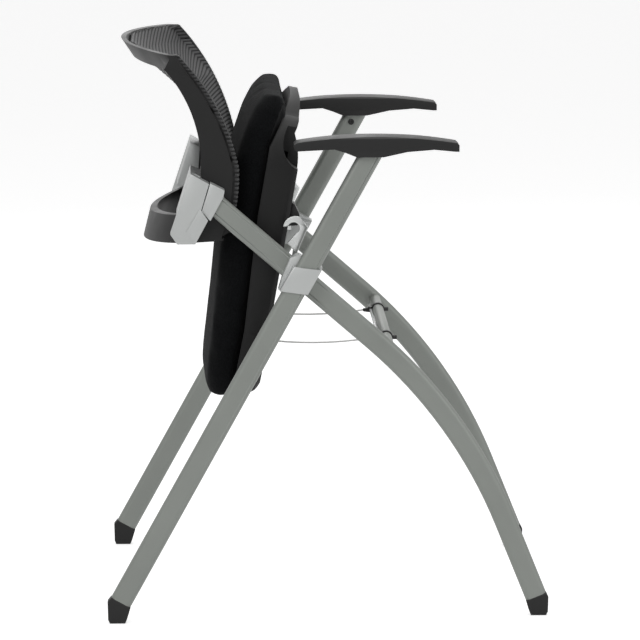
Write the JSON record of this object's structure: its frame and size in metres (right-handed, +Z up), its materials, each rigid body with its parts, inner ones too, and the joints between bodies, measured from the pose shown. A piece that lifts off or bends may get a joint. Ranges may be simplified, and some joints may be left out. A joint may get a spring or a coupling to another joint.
{
  "type": "nesting chair",
  "caption": "Nesting armchair on crossed flat-oval legs with a flip-up padded seat and a bowed mesh back.",
  "frame": {"origin": "on the floor under the middle of the four feet", "axes": "+X forward, +Y to the sitter's left, +Z up"},
  "size_m": [0.606, 0.546, 0.7804],
  "materials": {
    "frame_paint": "satin silver powder coat",
    "silver_casting": "satin silver casting",
    "foot_rubber": "matt",
    "hook_steel": "satin",
    "wire_steel": "stranded wire",
    "screw_steel": "black",
    "black_plastic": "matt",
    "armrest_plastic": "fine grained",
    "back_plastic": "fine grained",
    "pan_plastic": "fine grained",
    "mesh_fabric": "ribbed knit",
    "edging_fabric": "ribbed strip",
    "seat_fabric": "woven"
  },
  "bodies": {
    "frame": {"straight_leg_right": "frame_paint", "straight_leg_left": "frame_paint", "curved_leg_right": "frame_paint", "curved_leg_left": "frame_paint", "rear_foot_right": "foot_rubber", "rear_foot_left": "foot_rubber", "front_foot_right": "foot_rubber", "front_foot_left": "foot_rubber", "cross_joint_right": "silver_casting", "cross_joint_left": "silver_casting", "cross_cover_right": "silver_casting", "cross_cover_left": "silver_casting", "hook_plate_right": "hook_steel", "hook_plate_left": "hook_steel", "stay_wire_right": "wire_steel", "stay_wire_left": "wire_steel", "wire_grommet_right": "black_plastic", "wire_grommet_left": "black_plastic", "wire_anchor_right": "silver_casting", "wire_anchor_left": "silver_casting", "yoke_clip_right": "black_plastic", "yoke_clip_left": "black_plastic", "armrest_right": "armrest_plastic", "armrest_left": "armrest_plastic", "back_bracket_right": "silver_casting", "back_bracket_left": "silver_casting", "back_collar_right": "silver_casting", "back_collar_left": "silver_casting", "mesh_edging_right": "edging_fabric", "mesh_edging_left": "edging_fabric", "front_crossbar": "frame_paint", "wire_yoke": "hook_steel", "pivot_rod": "hook_steel", "armrest_screws": "screw_steel", "back_frame": "back_plastic", "back_mesh": "mesh_fabric", "back_ring": "back_plastic", "bracket_screws": "silver_casting"},
    "seat": {"seat_cushion": "seat_fabric", "seat_pan": "pan_plastic", "pivot_saddle_right": "black_plastic", "pivot_saddle_left": "black_plastic", "rest_pad_right": "black_plastic", "rest_pad_left": "black_plastic", "saddle_screws": "screw_steel"}
  },
  "joints": [
    {"name": "seat_flip", "type": "hinge", "parent": "frame", "child": "seat", "pos_m": [-0.0858, 0, 0.388], "axis": [0, 1, 0], "range_deg": [0, 76]}
  ]
}
